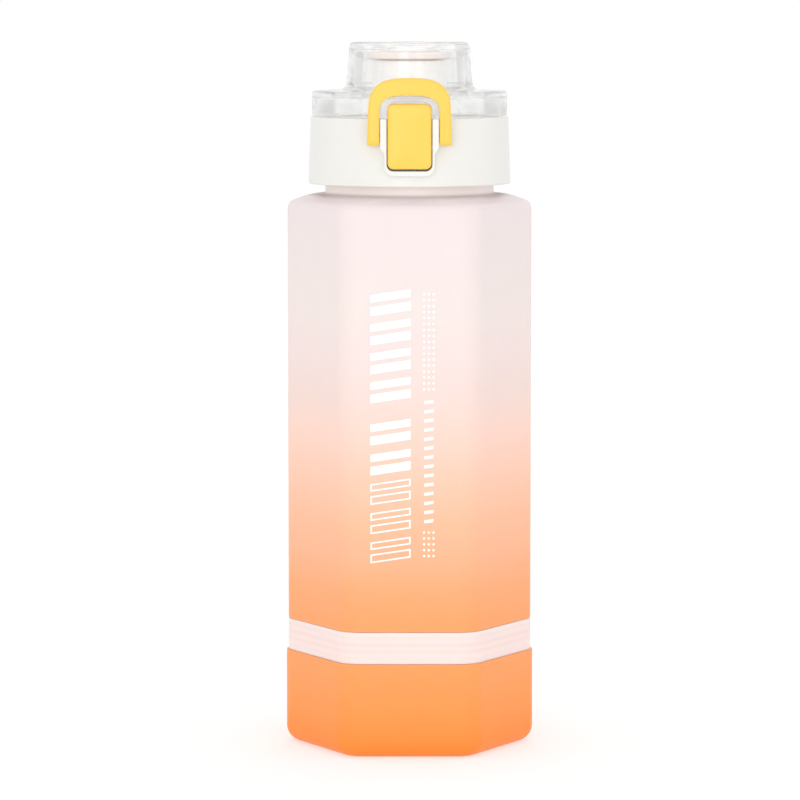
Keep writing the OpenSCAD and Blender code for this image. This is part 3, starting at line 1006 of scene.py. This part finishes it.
def make_hinge():
    y0, z0 = HINGE
    coil = [(z, -x, -y) for x, y, z in coil_path(radius=1.6, length=9, turns=9.5)]
    # one arm of the spring rests on the lid and the other in the cap
    path = [(-4.5, -1.6, 5.5), (-4.5, -1.6, 2.5), *coil, (4.5, 0.7, -2.4), (4.5, -0.84, -6.0)]
    path = [(x, y0 + y, z0 + z) for x, y, z in path]
    spring = to_mesh("lid_spring_wire", [tube(path, r=0.3)])
    finish_piece(spring, STEEL, "cap", ["hinge_spring"])

    half, r, edge = 13.0, 1.0, 0.2
    pin = [
        (0, -half),
        (r - edge, -half, 0.2),
        (r, edge - half, 0.1),
        (r, half - edge, 0.1),
        (r - edge, half, 0.2),
        (0, half),
    ]
    rod = to_mesh("hinge_rod", [lathe_x(rounded(pin, closed=False), 32, (0, y0, z0))])
    finish_piece(rod, STEEL, "cap", ["hinge_pin"])


def make_button():
    half, low, high = BUTTON_HALF, *span("button", 2)
    front, back = span("button", 1)[0], -35.2
    edge_r, corner_r, edge_steps = 0.9, 2.0, 6
    # (inset, y) of the plate's outlines: the back, the round edge and the slightly raised middle
    sections = [(0.35, back), (0.0, back - 0.35)]
    for i in range(edge_steps + 1):
        a = radians(90 * i / edge_steps)
        sections.append((edge_r * (1 - cos(a)), front + 0.35 + edge_r * (1 - sin(a))))
    sections += [(2.0, front + 0.17), (3.5, front + 0.06), (5.2, front + 0.01), (6.8, front)]
    skin = []
    for inset, y in sections:
        r = max(corner_r - inset, 0.4)
        shape = rounded(
            [
                (-half + inset, low + inset, r),
                (half - inset, low + inset, r),
                (half - inset, high - inset, r),
                (-half + inset, high - inset, r),
            ],
            steps=8,
        )
        skin.append([(x, y, z) for x, z in shape])

    root, block_back, hook_back = back - 0.3, -31.8, -33.8
    block_low, block_high = BUTTON_AXIS[1] - 1.6, BUTTON_AXIS[1] + 1.6
    block = [(-6, block_low), (6, block_low), (6, block_high), (-6, block_high)]
    hook_low, hook_high = LID_LOW + 2.7, LID_LOW + 4.3
    hook = rounded(
        [(-5.3, hook_low, 0), (5.3, hook_low, 0), (5.3, hook_high, 0.5), (-5.3, hook_high, 0.5)]
    )
    parts = [loft(skin), prism_y(block, root, block_back), prism_y(hook, root, hook_back)]
    button = to_mesh("push_button", parts, 40)
    even(button)
    finish_piece(button, YELLOW, "button", ["button"])

    pin_half, pin_r = 9.3, 0.8
    pin = [(0, -pin_half), (pin_r, -pin_half), (pin_r, pin_half), (0, pin_half)]
    rod = to_mesh("button_rod", [lathe_x(pin, 24, (0, *BUTTON_AXIS))])
    finish_piece(rod, STEEL, "cap", ["button_pin"])

    # short enough to stay clear of the pressed button
    spring_y, spring_z = -32.75, CAP_LOW + 8.8
    coil = coil_path(radius=1.5, length=2.4, turns=4)
    coil = [(x, spring_y + z, spring_z + y) for x, y, z in coil]
    spring = to_mesh("button_spring_wire", [tube(coil, r=0.25)])
    finish_piece(spring, STEEL, "cap", ["button_spring"])


def bail_side(foot, leg, shoulder, top):
    """One outline (x, z) of the bail, given its half widths at the foot, the leg and the arch."""
    foot_z = BAIL_AXIS[1] - 2.2
    leg_z = (foot_z + ARCH_Z) / 2
    right = [(foot, foot_z), (leg, leg_z)]
    left = [(-leg, leg_z), (-foot, foot_z)]
    return right + arch(shoulder, top - ARCH_Z, ARCH_Z, 40) + left


def make_bail():
    y0, z0 = BAIL_AXIS
    top = LID_HIGH - 11.7
    inner_half = 10.15
    outer = bail_side(foot=14.3, leg=14.1, shoulder=13.9, top=top)
    inner = bail_side(inner_half, inner_half, inner_half, top=LID_LOW + 7.65)
    bar = rim_sweep(outer, inner, front=-37.4, back=-33.6, r_out=1.0, r_in=0.4)
    bail = to_mesh("safety_bail", [bar], 40)

    # the feet are round seen from the side, so that they turn clear of the cap
    foot_r = 2.25
    side_view = [(y0 + foot_r, top + 1), (y0 - foot_r, top + 1)]
    for i in range(25):
        a = radians(180 + 7.5 * i)
        side_view.append((y0 + foot_r * cos(a), z0 + foot_r * sin(a)))
    combine(bail, [prism_x(side_view, -20, 20)], "INTERSECT", 40)

    # the lip that hooks over the lid's rim
    lip_low = RIM_TOP + 0.3
    over = [p for p in arch(13.5, top - 0.35 - ARCH_Z, ARCH_Z, 60) if p[1] > lip_low + 0.2]
    lip_line = [(over[0][0], lip_low)] + over + [(over[-1][0], lip_low)]
    lip = prism_y(lip_line, -34.2, -31.5)

    stud_r, stud_length, stud_x = 1.2, 1.6, 8.75
    stud = rounded([(0, 0), (stud_r, 0, 0.3), (stud_r, stud_length), (0, stud_length)], False)
    studs = [lathe_x(stud, 32, (side * stud_x, y0, z0), side) for side in (-1, 1)]
    combine(bail, [lip, *studs], "UNION", 40)
    soften(bail, width=0.35, segments=3, angle=50)
    even(bail)
    finish_piece(bail, YELLOW, "bail", ["bail"])


make_cup()
make_divider()
make_band()
make_hex_seal()
make_flat_gasket("lower_gasket", "base_gasket", "base_gasket", 29.4, 0.3)
make_bottle()
make_print()
make_flat_gasket("rim_gasket", "cap_gasket", "cap_gasket", 25.3)
make_cap()
make_flat_gasket("spout_washer", "spout_gasket", "cap", DECK_HOLE_R, 0.3)
make_spout()
make_lid()
make_lid_seal()
make_hinge()
make_button()
make_bail()


# ---- floor, light and camera ----


def make_stage():
    """A wide, plain, pale floor."""
    half = 12.0
    points = [(-half, -half, 0), (half, -half, 0), (half, half, 0), (-half, half, 0)]
    mesh = bpy.data.meshes.new("studio_floor")
    mesh.from_pydata(points, [], [(0, 1, 2, 3)])
    floor = bpy.data.objects.new("studio_floor", mesh)
    bpy.context.scene.collection.objects.link(floor)
    make = Maker("pale_floor", Roughness=0.9, Specular_IOR_Level=0.1, Emission_Strength=0.52)
    make.shader.inputs["Base Color"].default_value = (0.5, 0.5, 0.5, 1)
    make.shader.inputs["Emission Color"].default_value = (1, 1, 1, 1)
    mesh.materials.append(make.material)


def make_lamp(name, place, size, power):
    """A rectangular lamp of size (width, height), aimed at the middle of the bottle."""
    target = Vector((0, 0, 0.12))
    lamp = bpy.data.lights.new(name, "AREA")
    lamp.shape = "RECTANGLE"
    lamp.size, lamp.size_y = size
    lamp.energy = power
    obj = bpy.data.objects.new(name, lamp)
    obj.location = place
    obj.rotation_euler = (target - Vector(place)).to_track_quat("-Z", "Y").to_euler()
    bpy.context.scene.collection.objects.link(obj)


def make_light():
    world = bpy.data.worlds.new("studio")
    world.use_nodes = True
    tree = world.node_tree
    background = tree.nodes["Background"]
    background.inputs["Strength"].default_value = 1.0
    # white in front and behind, a little dimmer to the left and right
    direction = tree.nodes.new("ShaderNodeTexCoord").outputs["Generated"]
    split = tree.nodes.new("ShaderNodeSeparateXYZ")
    tree.links.new(direction, split.inputs[0])
    across = tree.nodes.new("ShaderNodeMath")
    across.operation = "ABSOLUTE"
    tree.links.new(split.outputs["X"], across.inputs[0])
    shade = tree.nodes.new("ShaderNodeMapRange")
    shade.interpolation_type = "SMOOTHSTEP"
    shade.inputs["From Min"].default_value = 0.25
    shade.inputs["To Min"].default_value = 1.0
    shade.inputs["To Max"].default_value = 0.85
    tree.links.new(across.outputs[0], shade.inputs["Value"])
    tree.links.new(shade.outputs["Result"], background.inputs["Color"])
    bpy.context.scene.world = world
    make_lamp("key", place=(-0.35, -1.8, 0.5), size=(0.6, 0.6), power=4.5)
    make_lamp("fill", place=(0.6, -1.7, 0.25), size=(0.4, 0.8), power=2.0)
    make_lamp("back", place=(0.2, 1.2, 1.4), size=(1.2, 0.6), power=1.5)


def make_camera():
    data = bpy.data.cameras.new("camera")
    data.lens = 192
    data.sensor_width = 36
    data.shift_x = -0.0119
    camera = bpy.data.objects.new("camera", data)
    camera.location = (0, -1.4657, 0.2564)
    camera.rotation_euler = (radians(84.627), 0, 0)
    bpy.context.scene.collection.objects.link(camera)
    bpy.context.scene.camera = camera


make_stage()
make_light()
make_camera()
bpy.context.scene.view_settings.view_transform = "Standard"
